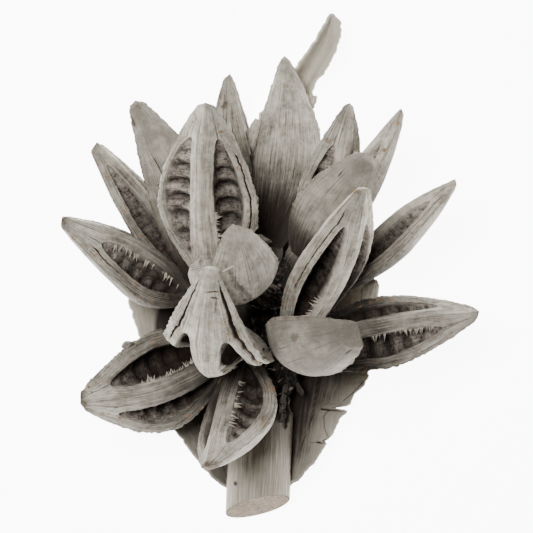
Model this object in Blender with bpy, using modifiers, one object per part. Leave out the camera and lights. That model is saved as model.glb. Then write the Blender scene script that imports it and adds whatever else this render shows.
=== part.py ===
# Star pod: a dried, whitewashed seed head of a tropical "bird of paradise" tree.
# Seven woody capsules stand on a fibrous core inside one long boat-shaped bract, and a cut
# length of stalk comes out at the foot. Each capsule has split into wedge-shaped valves:
# a rounded outer face, and two flat inner faces that meet in a ridge, each with a long
# ribbed seed hollow. The head lies on its bract: +Y runs from the cut stalk to the bract's
# tip, +X to the right and +Z up, from the surface that it rests on.
import math
import random
from collections import namedtuple

import bmesh
import bpy
import numpy as np
from mathutils import Vector, noise

MM = 0.001
GAP = 0.3

# A valve's shape, as shares of its length or of its radius
GIRTH_BASE = 0.34
GIRTH_SWELL = 0.9
GIRTH_TAPER = 1.7
HALF_ANGLE = math.radians(60)
ARC_STEPS = 3
HOLLOW_START = 0.10
HOLLOW_INNER = 0.24
HOLLOW_MIDDLE = 0.48
HOLLOW_OUTER = 0.74
HOLLOW_DEPTH = 0.46
HOLLOW_INNER_WALL = (0.12, 1.0)
HOLLOW_OUTER_WALL = (0.45, 0.75)
RIB_HEIGHT = 0.16
PLAIN_STATIONS = 8

# The pods, in mm: where each one's foot sits, where its short stalk ends in the core, and
# where its valves' tips are. turn is how far the valve's ridge is rolled from straight up, in
# degrees, to the left seen from its foot. bend and rise push its middle to the left and
# upwards. peak is where along it the valve is widest, hollow is where its seed hollow ends,
# and end is its tip's radius as a share of its widest.
Valve = namedtuple("Valve", "tip turn radius bend rise peak hollow ribs end",
                   defaults=(0, 0, 0.46, 0.79, 0, 0.13))
PODS = {
    "pod_top": ((0, 8, 31), (-2, -10, 22), [
        Valve((10, 117, 26), 180, 22, bend=-7, rise=-4, end=0.07),
        Valve((-20, 106, 36), -45, 22, ribs=6, hollow=0.68),
    ]),
    "pod_upper_left": ((-32, -4, 82), (-10, -28, 26), [
        Valve((-31, 83, 113), 14, 32, bend=3, rise=2, peak=0.34, ribs=7),
        Valve((-17, 21, 138), 128, 26, bend=-6, rise=-1, end=0.3),
    ]),
    "pod_left": ((-36, -11, 38), (-20, -16, 18), [
        Valve((-72, 90, 46), 170, 20, bend=-5, rise=-2, end=0.22),
        Valve((-93, 68, 39), -48, 20, bend=-6, hollow=0.86, end=0.25),
        Valve((-110, 27, 58), -58, 30, bend=-7, peak=0.36, hollow=0.7, ribs=7),
    ]),
    "pod_upper_right": ((19, 5, 59), (12, -14, 26), [
        Valve((54, 59, 82), 170, 22, bend=3, rise=-3, end=0.3),
        Valve((44, 86, 82), -28, 20, bend=-7, ribs=6, hollow=0.72, end=0.08),
        Valve((72, 85, 62), 78, 21, bend=5),
    ]),
    "pod_right": ((38, -8, 47), (16, -29, 22), [
        Valve((101, 47, 64), 72, 22, bend=8),
    ]),
    "pod_lower_right": ((16, -43, 60), (8, -48, 26), [
        Valve((50, 39, 126), -44, 27, bend=-9, rise=5, ribs=7),
        Valve((114, -24, 62), 27, 25, bend=4, ribs=7),
        Valve((45, -28, 130), 156, 25.5, bend=6, rise=4, peak=0.6, end=0.42),
    ]),
    "pod_front": ((-18, -46, 54), (-11, -49, 26), [
        Valve((-28, -1, 146), 28, 33, bend=15, rise=31, peak=0.36, end=0.18),
        Valve((-98, -72, 78), 18, 33, bend=9, rise=3, ribs=7),
        Valve((-32, -103, 98), -46, 30, ribs=6),
    ]),
}
FOOT_RADIUS = 9.5
STALK_RADIUS = 6.0

# The core that carries the pods: a lumpy oval, flat where it lies on the bract and where it
# meets the stem, with dry shreds standing on it.
CORE_CENTRE = (-2, -38, 19)
CORE_HALF = (25, 46, 17)
CORE_FLOOR = 2.8
CORE_END_Y = -80.0
CORE_LUMP = 0.12
CORE_LUMPS_ACROSS = 3.1
SHRED_COUNT = 18
SHRED_LENGTH = (12, 26)
SHRED_WIDTH = 3.4
SHRED_THICK = 1.2

# The stem: an oval, cut aslant at its free end
STEM_HALF_WIDTH = 18.0
STEM_HALF_HEIGHT = 13.0
STEM_CENTRE_Z = 16.0
STEM_TOP_Y = CORE_END_Y - GAP
STEM_END_Y = -134.4
STEM_TOP_X = -3.0
STEM_END_X = -5.0
CUT_LEAN = math.radians(27)
CUT_SLOPE = math.radians(13)

# The bract: at each station its two margins, its keel's height, how far its margins rise
# above the keel, and the power of its curve from keel to margin.
Station = namedtuple("Station", "y left right keel rise curve")
BRACT = [
    Station(-124, -27, 19, 0, 16, 3.0),
    Station(-116, -34, 23, 0, 17, 2.8),
    Station(-108, -41, 29, 0, 18, 2.4),
    Station(-93, -52, 39, 0, 20, 2.0),
    Station(-75, -60, 49, 0, 21, 1.8),
    Station(-63, -65, 57, 0, 22, 1.7),
    Station(-36, -71, 60, 0, 20, 1.7),
    Station(-19, -78, 62, 0, 17, 1.7),
    Station(4, -68, 60, 0, 13, 1.7),
    Station(30, -54, 50, 0, 12, 1.7),
    Station(60, -16, 34, 0, 8, 1.7),
    Station(82, -7, 27, 4, 9, 1.8),
    Station(97, 3, 28, 10, 8, 1.8),
    Station(112, 17, 38, 17, 7, 1.8),
    Station(126, 26, 42, 22, 5, 1.8),
    Station(136, 31, 42, 26, 3, 1.8),
    Station(140, 34, 39, 28, 1, 1.8),
]
BRACT_ROWS = 45
BRACT_COLUMNS = 10
BRACT_THICKNESS = 2.4
BRACT_FLAT = 2.0
BRACT_TEAR = 1.6

# Tears in the bract's right margin, in mm: where along it, how deep and how wide
NOTCHES = [(-80, 7, 7), (-97, 4, 5)]

SEED = 7


def material(name, colour, roughness):
    """One dry wood or paper finish."""
    made = bpy.data.materials.new(name)
    made.use_nodes = True
    shader = made.node_tree.nodes["Principled BSDF"]
    shader.inputs["Base Color"].default_value = (*colour, 1)
    shader.inputs["Roughness"].default_value = roughness
    shader.inputs["Metallic"].default_value = 0
    return made


def new_object(name, bm, collection, finish=None):
    """An object whose mesh is the bmesh, with its faces pointing out."""
    bmesh.ops.recalc_face_normals(bm, faces=bm.faces)
    mesh = bpy.data.meshes.new(name)
    bm.to_mesh(mesh)
    bm.free()
    made = bpy.data.objects.new(name, mesh)
    collection.objects.link(made)
    if finish:
        mesh.materials.append(finish)
    return made


def apply_boolean(target, operands, operation, finish, collection):
    """Joins a collection's objects to the target, or cuts them from it, and removes them."""
    name = target.name
    joint = target.modifiers.new(name, "BOOLEAN")
    joint.operand_type = "COLLECTION"
    joint.collection = operands
    joint.operation = operation
    joint.solver = "EXACT"
    bpy.context.view_layer.update()
    evaluated = target.evaluated_get(bpy.context.evaluated_depsgraph_get())
    mesh = bpy.data.meshes.new_from_object(evaluated)
    for piece in [target, *operands.objects]:
        bpy.data.objects.remove(piece)
    bpy.data.collections.remove(operands)
    made = bpy.data.objects.new(name, mesh)
    collection.objects.link(made)
    mesh.name = name
    mesh.materials.clear()
    mesh.materials.append(finish)
    return made


def union(name, pieces, finish, collection):
    """Joins the pieces of one node into a single closed body."""
    operands = bpy.data.collections.new(name + "_pieces")
    bpy.context.scene.collection.children.link(operands)
    for piece in pieces[1:]:
        collection.objects.unlink(piece)
        operands.objects.link(piece)
    pieces[0].name = name
    made = apply_boolean(pieces[0], operands, "UNION", finish, collection)
    made.data.set_sharp_from_angle(angle=math.radians(35))
    return made


def loft(rings):
    """A closed skin through rings of equal count, with a flat cap at each end."""
    bm = bmesh.new()
    rows = [[bm.verts.new(point) for point in ring] for ring in rings]
    count = len(rows[0])
    for near, far in zip(rows, rows[1:]):
        for k in range(count):
            after = (k + 1) % count
            bm.faces.new((near[k], near[after], far[after], far[k]))
    bm.faces.new(rows[0][::-1])
    bm.faces.new(rows[-1])
    return bm


def girth(t, shape):
    """A valve's radius along its length, as a share of its widest."""
    if t < shape.peak:
        return GIRTH_BASE + (1 - GIRTH_BASE) * math.sin(math.pi / 2 * t / shape.peak) ** GIRTH_SWELL
    return 1 - (1 - shape.end) * ((t - shape.peak) / (1 - shape.peak)) ** GIRTH_TAPER


def section(along, ribs):
    """The valve's cut face for a radius of 1: u across, v towards the ridge.

    along runs from 0 to 1 over the seed hollow, which is shut outside it.
    """
    wide = math.sin(math.pi * along) ** 0.5 if 0 < along < 1 else 0.0
    floor = HOLLOW_DEPTH * wide
    if ribs:
        floor *= 1 - RIB_HEIGHT * math.cos(2 * math.pi * ribs * along)
    inner = HOLLOW_MIDDLE - (HOLLOW_MIDDLE - HOLLOW_INNER) * wide
    outer = HOLLOW_MIDDLE + (HOLLOW_OUTER - HOLLOW_MIDDLE) * wide
    sine, cosine = math.sin(HALF_ANGLE), math.cos(HALF_ANGLE)
    half = [(inner * sine, -inner * cosine)]
    for edge, (across, down) in ((inner, HOLLOW_INNER_WALL), (outer, HOLLOW_OUTER_WALL)):
        half.append((edge * sine - across * floor, -edge * cosine - down * floor))
    half.append((outer * sine, -outer * cosine))
    for step in range(ARC_STEPS):
        angle = HALF_ANGLE * (1 - step / ARC_STEPS)
        half.append((math.sin(angle), -math.cos(angle)))
    return [(0, 0), *half, (0, -1), *[(-u, v) for u, v in reversed(half)]]


def stations(shape):
    """Where a valve's cut faces stand along it."""
    count = 2 * shape.ribs + 1 if shape.ribs else PLAIN_STATIONS
    hollow = np.linspace(HOLLOW_START, shape.hollow, count)
    return [0.0, *hollow, *np.linspace(shape.hollow, 1, 4)[1:]]


def valve(foot, shape):
    """One wedge of a split capsule, from the pod's foot to its blunt tip."""
    base = Vector(foot) * MM
    axis = Vector(shape.tip) * MM - base
    length = axis.length
    axis.normalize()
    up = (Vector((0, 0, 1)) - axis.z * axis).normalized()
    left = up.cross(axis)
    roll = math.radians(shape.turn)
    ridge = math.cos(roll) * up + math.sin(roll) * left
    side = ridge.cross(axis)
    rings = []
    for t in stations(shape):
        radius = shape.radius * MM * girth(t, shape)
        swell = math.sin(math.pi * t) * MM
        spine = base + axis * (length * t) + (left * shape.bend + up * shape.rise) * swell
        along = (t - HOLLOW_START) / (shape.hollow - HOLLOW_START)
        ring = section(along, shape.ribs)
        rings.append([spine + (side * u + ridge * v) * radius for u, v in ring])
    return loft(rings)


def pod(name, foot, root, valves, finish, collection):
    """A capsule: its valves, grown together on a round foot with a short stalk."""
    pieces = []
    for number, shape in enumerate(valves):
        pieces.append(new_object(f"{name}_{number}", valve(foot, shape), collection))
    bm = bmesh.new()
    bmesh.ops.create_icosphere(bm, subdivisions=2, radius=FOOT_RADIUS * MM)
    bmesh.ops.translate(bm, verts=bm.verts, vec=Vector(foot) * MM)
    pieces.append(new_object(name + "_foot", bm, collection))
    pieces.append(new_object(name + "_stalk", stalk(foot, root, STALK_RADIUS, 0), collection))
    return union(name, pieces, finish, collection)


def stalk(foot, root, radius, reach):
    """A pod's short stalk, from inside its foot to its root in the core."""
    top, low = Vector(foot) * MM, Vector(root) * MM
    way = (low - top).normalized()
    long = (low - top).length + reach * MM
    bm = bmesh.new()
    bmesh.ops.create_cone(bm, cap_ends=True, segments=12, radius1=radius * MM,
                          radius2=radius * MM, depth=long)
    turn = way.to_track_quat("Z", "Y").to_matrix()
    bmesh.ops.rotate(bm, verts=bm.verts, matrix=turn)
    bmesh.ops.translate(bm, verts=bm.verts, vec=top + way * long / 2)
    return bm


def shred(root, tip, width, curl):
    """A dry fibre strip, broad at its sunken root and curled to one side at its tip."""
    way = tip - root
    side = way.cross(Vector((0, 0, 1)) + curl).normalized()
    face = side.cross(way).normalized()
    rings = []
    for t in (0.0, 0.4, 0.75, 1.0):
        centre = root + way * t + curl * (t * t)
        broad = side * (width * (1 - 0.75 * t) / 2)
        thick = face * (SHRED_THICK * MM * (1 - 0.4 * t) / 2)
        rings.append([centre + broad + thick, centre - broad + thick,
                      centre - broad - thick, centre + broad - thick])
    return loft(rings)


def core(finish, collection):
    """The woody core, with a socket for each pod's stalk."""
    draw = random.Random(SEED)
    centre = Vector(CORE_CENTRE) * MM
    bm = bmesh.new()
    bmesh.ops.create_icosphere(bm, subdivisions=3, radius=1)
    for vert in bm.verts:
        lump = 1 + CORE_LUMP * noise.noise(vert.co * CORE_LUMPS_ACROSS)
        vert.co = centre + Vector(c * half * MM * lump for c, half in zip(vert.co, CORE_HALF))
    for point, normal in (((0, 0, CORE_FLOOR), (0, 0, -1)), ((0, CORE_END_Y, 0), (0, -1, 0))):
        cut = bmesh.ops.bisect_plane(bm, geom=[*bm.verts, *bm.edges, *bm.faces],
                                     plane_co=Vector(point) * MM, plane_no=normal,
                                     clear_outer=True)
        rim = [item for item in cut["geom_cut"] if isinstance(item, bmesh.types.BMEdge)]
        bmesh.ops.contextual_create(bm, geom=rim)
    pieces = [new_object("core_body", bm, collection)]
    for number in range(SHRED_COUNT):
        x = draw.uniform(-8, 12)
        y = draw.uniform(-68, -50)
        root = Vector((x, y, 22)) * MM
        long = draw.uniform(*SHRED_LENGTH)
        lean = Vector((draw.uniform(-0.5, 0.6), draw.uniform(-0.5, 0.2), 1)).normalized()
        curl = Vector((draw.uniform(-4, 4), draw.uniform(-2, 2), 0)) * MM
        strip = shred(root, root + lean * (long * MM), SHRED_WIDTH * MM, curl)
        pieces.append(new_object(f"shred_{number}", strip, collection))
    made = union("core", pieces, finish, collection)
    sockets = bpy.data.collections.new("sockets")
    bpy.context.scene.collection.children.link(sockets)
    for name, (foot, root, _) in PODS.items():
        new_object(name + "_socket", stalk(foot, root, STALK_RADIUS + GAP, GAP), sockets)
        bm = bmesh.new()
        bmesh.ops.create_icosphere(bm, subdivisions=2, radius=(FOOT_RADIUS + 2 * GAP) * MM)
        bmesh.ops.translate(bm, verts=bm.verts, vec=Vector(foot) * MM)
        new_object(name + "_seat", bm, sockets)
    return apply_boolean(made, sockets, "DIFFERENCE", finish, collection)


def stem(finish, collection):
    """The cut stem: an oval rod whose free end is a slanting flat cut."""
    length = STEM_TOP_Y - STEM_END_Y
    bm = bmesh.new()
    bmesh.ops.create_cone(bm, cap_ends=True, segments=28, radius1=1, radius2=1, depth=1)
    for vert in bm.verts:
        free = vert.co.z < 0
        x, z = vert.co.x * STEM_HALF_WIDTH, vert.co.y * STEM_HALF_HEIGHT
        y = STEM_TOP_Y - (length if free else 0)
        if free:
            y += math.tan(CUT_LEAN) * z + math.tan(CUT_SLOPE) * x
        middle = STEM_END_X if free else STEM_TOP_X
        vert.co = Vector((x + middle, y, z + STEM_CENTRE_Z)) * MM
    return new_object("stem", bm, collection, finish)


def between(y, field):
    """A bract station's value at y, on a smooth curve through the stations."""
    at = max(1, min(len(BRACT) - 1, sum(station.y <= y for station in BRACT)))
    ends = [BRACT[max(0, min(len(BRACT) - 1, at + k))] for k in (-2, -1, 0, 1)]
    values = [getattr(station, field) for station in ends]
    near, far = ends[1].y, ends[2].y
    s = (y - near) / (far - near)
    slopes = [(values[k + 1] - values[k - 1]) / max(1, ends[k + 1].y - ends[k - 1].y)
              * (far - near) for k in (1, 2)]
    return ((2 * s ** 3 - 3 * s ** 2 + 1) * values[1] + (s ** 3 - 2 * s ** 2 + s) * slopes[0]
            + (3 * s ** 2 - 2 * s ** 3) * values[2] + (s ** 3 - s ** 2) * slopes[1])


def tear(y, side):
    """How far the torn margin falls short of the bract's outline."""
    ragged = BRACT_TEAR * (1 + noise.noise((y * 0.19, side * 5.3, SEED)))
    if side > 0:
        for middle, depth, width in NOTCHES:
            ragged += depth * max(0, 1 - abs(y - middle) / width)
    return ragged


def bract(finish, collection):
    """The boat-shaped bract: its outer skin as a grid, thickened inwards."""
    bm = bmesh.new()
    rows = []
    for y in np.linspace(BRACT[0].y, BRACT[-1].y, BRACT_ROWS):
        y = float(y)
        left, right, keel, rise, curve = (between(y, field) for field in Station._fields[1:])
        middle, half = (left + right) / 2, (right - left) / 2
        row = []
        for column in range(BRACT_COLUMNS + 1):
            share = 2 * column / BRACT_COLUMNS - 1
            across = half * share
            if abs(share) == 1:
                across -= share * min(tear(y, share), half / 3)
            height = (rise + BRACT_FLAT) * abs(across / half) ** curve - BRACT_FLAT
            place = Vector((middle + across, y, max(0, keel + height)))
            row.append(bm.verts.new(place * MM))
        rows.append(row)
    for near, far in zip(rows, rows[1:]):
        for k in range(BRACT_COLUMNS):
            bm.faces.new((near[k], far[k], far[k + 1], near[k + 1]))
    mesh = bpy.data.meshes.new("bract")
    bm.to_mesh(mesh)
    bm.free()
    made = bpy.data.objects.new("bract", mesh)
    collection.objects.link(made)
    mesh.materials.append(finish)
    skin = made.modifiers.new("thickness", "SOLIDIFY")
    skin.thickness = BRACT_THICKNESS * MM
    skin.offset = -1
    return made


def main():
    for old in list(bpy.data.objects):
        bpy.data.objects.remove(old)
    collection = bpy.data.collections.new("star_pod")
    bpy.context.scene.collection.children.link(collection)
    wood = material("whitewashed_wood", (0.49, 0.46, 0.42), 0.85)
    paper = material("dried_bract", (0.33, 0.30, 0.27), 0.9)
    fibre = material("dark_fibre", (0.10, 0.085, 0.07), 0.95)
    for name, (foot, root, valves) in PODS.items():
        pod(name, foot, root, valves, wood, collection)
    core(fibre, collection)
    stem(wood, collection)
    bract(paper, collection)


main()
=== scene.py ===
# Star pod: a dried, whitewashed seed head of a tropical "bird of paradise" tree, lying on its
# bract. Seven woody capsules have split into wedge-shaped valves, a cut stem comes out at the
# foot, and a long torn bract cradles them. All lengths in the tables are millimetres.
import math
import random
from collections import namedtuple

import bpy
import numpy as np
from mathutils import Euler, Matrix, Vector, noise


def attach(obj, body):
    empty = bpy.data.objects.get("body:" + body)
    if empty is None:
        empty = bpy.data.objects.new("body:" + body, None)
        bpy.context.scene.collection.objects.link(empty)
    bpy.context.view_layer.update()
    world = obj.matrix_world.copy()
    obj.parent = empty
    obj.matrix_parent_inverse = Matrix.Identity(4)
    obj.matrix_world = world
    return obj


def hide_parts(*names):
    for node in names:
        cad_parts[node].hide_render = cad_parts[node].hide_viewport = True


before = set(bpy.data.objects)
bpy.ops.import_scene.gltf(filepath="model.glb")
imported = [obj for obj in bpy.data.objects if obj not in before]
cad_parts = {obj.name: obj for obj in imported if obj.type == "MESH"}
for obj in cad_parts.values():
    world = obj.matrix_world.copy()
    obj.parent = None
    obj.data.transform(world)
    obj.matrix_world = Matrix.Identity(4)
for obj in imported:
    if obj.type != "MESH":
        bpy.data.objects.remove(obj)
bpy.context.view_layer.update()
MM = 0.001

# The camera: a still-life camera straight above the seed head, about a metre up, with a long
# lens. The picture's upper edge is towards the bract's tip.
SENSOR_WIDTH = 36
# The picture shows this width at this distance, and the camera stands this high, in metres
SEEN_WIDTH, SEEN_FROM, CAMERA_HEIGHT = 0.286, 1.0, 1.06
camera_data = bpy.data.cameras.new("still_life_camera")
camera_data.sensor_width = SENSOR_WIDTH
camera_data.lens = SENSOR_WIDTH * SEEN_FROM / SEEN_WIDTH
camera = bpy.data.objects.new("still_life_camera", camera_data)
camera.location = (0, 0, CAMERA_HEIGHT)
bpy.context.scene.collection.objects.link(camera)
bpy.context.scene.camera = camera


def tint(code):
    """A linear colour from an sRGB hex code."""
    shares = [int(code[k:k + 2], 16) / 255 for k in (1, 3, 5)]
    return (*[c / 12.92 if c < 0.04045 else ((c + 0.055) / 1.055) ** 2.4 for c in shares], 1)


def add(tree, kind, inputs={}, **settings):
    """Adds a node, sets its properties, then gives each input a value or a link."""
    made = tree.nodes.new(kind)
    for name, value in settings.items():
        setattr(made, name, value)
    for name, value in inputs.items():
        if isinstance(value, bpy.types.NodeSocket):
            tree.links.new(value, made.inputs[name])
        else:
            made.inputs[name].default_value = value
    return made


def finish_called(name):
    """A new material, and its node tree with nothing in it yet."""
    made = bpy.data.materials.new(name)
    made.use_nodes = True
    made.node_tree.nodes.clear()
    return made, made.node_tree


# The table top: matt white card that sweeps far past the picture's edges, lit until it is
# nearly pure white, as a product photographer's light table is.
white_card, tree = finish_called("white_card")
surface = add(tree, "ShaderNodeBsdfPrincipled", {
    "Base Color": tint("#F4F4F3"), "Roughness": 0.9,
    "Emission Color": tint("#FFFFFF"), "Emission Strength": 9.0})
add(tree, "ShaderNodeOutputMaterial", {"Surface": surface.outputs[0]})
FAR = 9
table_mesh = bpy.data.meshes.new("table_top")
table_mesh.from_pydata([(-FAR, -FAR, 0), (FAR, -FAR, 0), (FAR, FAR, 0), (-FAR, FAR, 0)], [],
                       [(0, 1, 2, 3)])
table_mesh.materials.append(white_card)
table_top = bpy.data.objects.new("table_top", table_mesh)
bpy.context.scene.collection.objects.link(table_top)

# The light: one large softbox beside the camera, and a pale room that fills the shadows.
softbox_data = bpy.data.lights.new("softbox", "AREA")
softbox_data.shape = "DISK"
softbox_data.size = 0.6
softbox_data.energy = 42
softbox = bpy.data.objects.new("softbox", softbox_data)
softbox.location = (-0.35, 0.3, 1.5)
softbox.rotation_euler = (-softbox.location).to_track_quat("-Z", "Y").to_euler()
bpy.context.scene.collection.objects.link(softbox)
room = bpy.data.worlds.new("pale_room")
room.use_nodes = True
room_light = room.node_tree.nodes["Background"]
room_light.inputs["Color"].default_value = tint("#FFFFFF")
room_light.inputs["Strength"].default_value = 0.04
bpy.context.scene.world = room


# The capsules: woody seed capsules of two or three valves on a short stalk. Each valve has a
# rounded outer face and two flat flanks that meet in a ridge. Each flank has a long seed
# hollow. They grew in one piece, dried, split open and were whitewashed.
# A valve's shape: turn rolls the ridge from straight up, to the left seen from the foot. bend
# and rise push its middle to the left and upwards. It is widest at peak, a share of its length,
# and its seed hollows end at hollow and are crossed by so many ribs. end is its tip's radius as
# a share of its widest. reach is how far out the hollow of flank 1 and of flank -1 comes. splits
# are the gaps between its inner and outer layers: flank, from, to, and how open. Flank 1 is on
# the left of the ridge, looking at it with the tip away.
# A valve's finish: dust is how far lime dust has greyed the hollow of flank 1 and of flank -1, and the
# wear mark is how far the whole valve is darkened, by worn-off wash and by painted shade where the
# valve faces away from the light. The soot mark is how far up from the foot its outer face is
# darkened, by grime and by painted shade where the capsules crowd together, and burnt is how dark and
# rough its tip is.
Valve = namedtuple("Valve", "tip turn radius bend rise peak hollow ribs end reach splits dust "
                   "wear soot burnt",
                   defaults=(0, 0, 0.46, 0.79, 0, 0.13, (0.74, 0.74), (), (0, 0), 0, 0, 0.3))
# Each capsule: where its valves meet at the foot, where its stalk starts, and its valves
PODS = {
    "pod_top": ((0, 8, 31), (-2, -10, 22), [
        Valve((10, 117, 26), 180, 22, bend=-7, rise=-4, end=0.07, soot=0.62),
        Valve((-20, 106, 36), -45, 22, ribs=6, hollow=0.68),
    ]),
    "pod_upper_left": ((-32, -4, 82), (-10, -28, 26), [
        Valve((-31, 83, 113), 14, 32, bend=3, rise=2, peak=0.34, ribs=7, reach=(0.91, 0.76),
              splits=[(-1, 0.16, 0.74, 0.5)], dust=(1.0, 0.6)),
        Valve((-17, 21, 138), 128, 26, bend=-6, rise=-1, end=0.3, wear=0.35, soot=0.3),
    ]),
    "pod_left": ((-36, -11, 38), (-20, -16, 18), [
        Valve((-72, 90, 46), 170, 20, bend=-5, rise=-2, end=0.22, wear=0.8, soot=0.3, burnt=0.8),
        Valve((-93, 68, 39), -48, 20, bend=-6, hollow=0.86, end=0.25, dust=(0.5, 0.5), wear=0.3),
        Valve((-110, 27, 58), -58, 30, bend=-7, peak=0.36, hollow=0.7, ribs=7,
              splits=[(-1, 0.3, 0.85, 0.7), (1, 0.2, 0.8, 0.35)], dust=(0.75, 0.7), burnt=0.9),
    ]),
    "pod_upper_right": ((19, 5, 59), (12, -14, 26), [
        Valve((54, 59, 82), 170, 22, bend=3, rise=-3, end=0.3, wear=0.8, soot=0.5, burnt=0.6),
        Valve((44, 86, 82), -28, 20, bend=-7, ribs=6, hollow=0.72, end=0.08, dust=(0.9, 0.7)),
        Valve((72, 85, 62), 78, 21, bend=5, dust=(0.9, 0.9), soot=0.3),
    ]),
    "pod_right": ((38, -8, 47), (16, -29, 22), [
        Valve((101, 47, 64), 72, 22, bend=8, splits=[(-1, 0.25, 0.9, 0.4)], dust=(0.6, 0.6)),
    ]),
    "pod_lower_right": ((16, -43, 60), (8, -48, 26), [
        Valve((50, 39, 126), -44, 27, bend=-9, rise=5, ribs=7, reach=(0.72, 0.9),
              splits=[(1, 0.35, 0.9, 0.4)], dust=(0.1, 0.6)),
        Valve((114, -24, 62), 27, 25, bend=4, ribs=7, dust=(0.7, 0.9), burnt=0.75),
        Valve((45, -28, 130), 156, 25.5, bend=6, rise=4, peak=0.6, end=0.42, wear=1.0, soot=0.36),
    ]),
    "pod_front": ((-18, -46, 54), (-11, -49, 26), [
        Valve((-28, -1, 146), 28, 33, bend=15, rise=31, peak=0.36, hollow=0.68, end=0.1,
              splits=[(-1, 0.05, 0.97, 1.0), (1, 0.5, 0.97, 0.5)], burnt=0.5),
        Valve((-98, -72, 78), 18, 33, bend=9, rise=3, ribs=7, dust=(1.0, 0.2), burnt=1.0),
        Valve((-32, -103, 98), -46, 30, ribs=6, reach=(0.76, 0.7), dust=(0.7, 0.3), burnt=1.0),
    ]),
}
# The fields that a capsule's mesh carries for its material
MARKS = ("hollow", "split", "rim", "shell", "tip", "seam", "dust", "wear", "soot")
# A valve's flanks slope down from its ridge at 30 degrees, and its back is round
WIDE, TALL = math.sin(math.radians(60)), math.cos(math.radians(60))
# Where a hollow closes on its flank, how far it opens towards the ridge, and how deep it is,
# as shares of the radius
HOLLOW_MIDDLE, HOLLOW_INWARDS, HOLLOW_DEPTH = 0.48, 0.24, 0.46
# Where along a valve its hollows start
HOLLOW_START = 0.1
# The columns of a flank's four bands: the strip by the ridge, the hollow, the rim, the back
STRIP = np.array([0, 0.04, 0.09, 0.16, 0.24, 0.29, 0.33, 0.37, 0.42, 0.52, 0.66, 0.8, 0.9, 0.96])
BOWL = 0.5 - 0.5 * np.cos(np.pi * np.linspace(0, 1, 22))
RIM = np.array([0.08, 0.2, 0.3, 0.37, 0.42, 0.46, 0.5, 0.54, 0.58, 0.63, 0.72, 0.84, 0.94])
BACK = np.linspace(0, 1, 15)
# The rows of a valve, closer together in its last 8 per cent, where the tip rounds off
ROWS_UP = np.concatenate([np.linspace(0, 0.92, 116), 1 - 0.08 * np.linspace(1, 0, 15)[1:] ** 1.6])


def smooth(value, low, high):
    """0 below low, 1 above high, and an even curve between them."""
    share = np.clip((value - low) / (high - low), 0, 1)
    return share * share * (3 - 2 * share)


def rough(points, size, seed):
    """Even noise from -1 to 1 at each point, its lumps about size across."""
    return np.array([noise.noise(Vector(p) / size + Vector((seed, 7.7 * seed, 0)))
                     for p in points.reshape(-1, 3)]).reshape(points.shape[:-1])


def girth(t, shape):
    """A valve's radius along its length, as a share of its widest."""
    rising = 0.34 + 0.66 * np.sin(np.pi / 2 * np.clip(t / shape.peak, 0, 1)) ** 0.9
    late = np.clip((t - shape.peak) / (1 - shape.peak), 0, 1)
    return np.where(t < shape.peak, rising, 1 - (1 - shape.end) * late ** 1.7)


def spine_of(foot, shape, t):
    """The valve's ridge line at shares t of its length, with its ridge and side directions."""
    base, tip = Vector(foot) * MM, Vector(shape.tip) * MM
    axis = (tip - base).normalized()
    up = (Vector((0, 0, 1)) - axis.z * axis).normalized()
    left = up.cross(axis)
    roll = math.radians(shape.turn)
    ridge = math.cos(roll) * up + math.sin(roll) * left
    side = ridge.cross(axis)
    swell = np.sin(np.pi * t)[:, None] * MM
    spine = np.array(base) + np.outer(t, tip - base)
    spine = spine + (np.array(left) * shape.bend + np.array(up) * shape.rise) * swell
    return spine, np.array(ridge), np.array(side), np.array(axis)


def openness(t, shape):
    """How far the seed hollow is open, and how far along it t is."""
    along = np.clip((t - HOLLOW_START) / (shape.hollow - HOLLOW_START), 0, 1)
    return np.sin(np.pi * along) ** 0.4, along


def banded(rows, strip=0, bowl=0, rim=0, back=0):
    """A field over a flank's four bands, each given as a number or an array."""
    bands = zip((strip, bowl, rim, back), (STRIP, BOWL, RIM, BACK))
    return np.concatenate([np.broadcast_to(value, (rows, len(columns)))
                           for value, columns in bands], 1)


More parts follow.
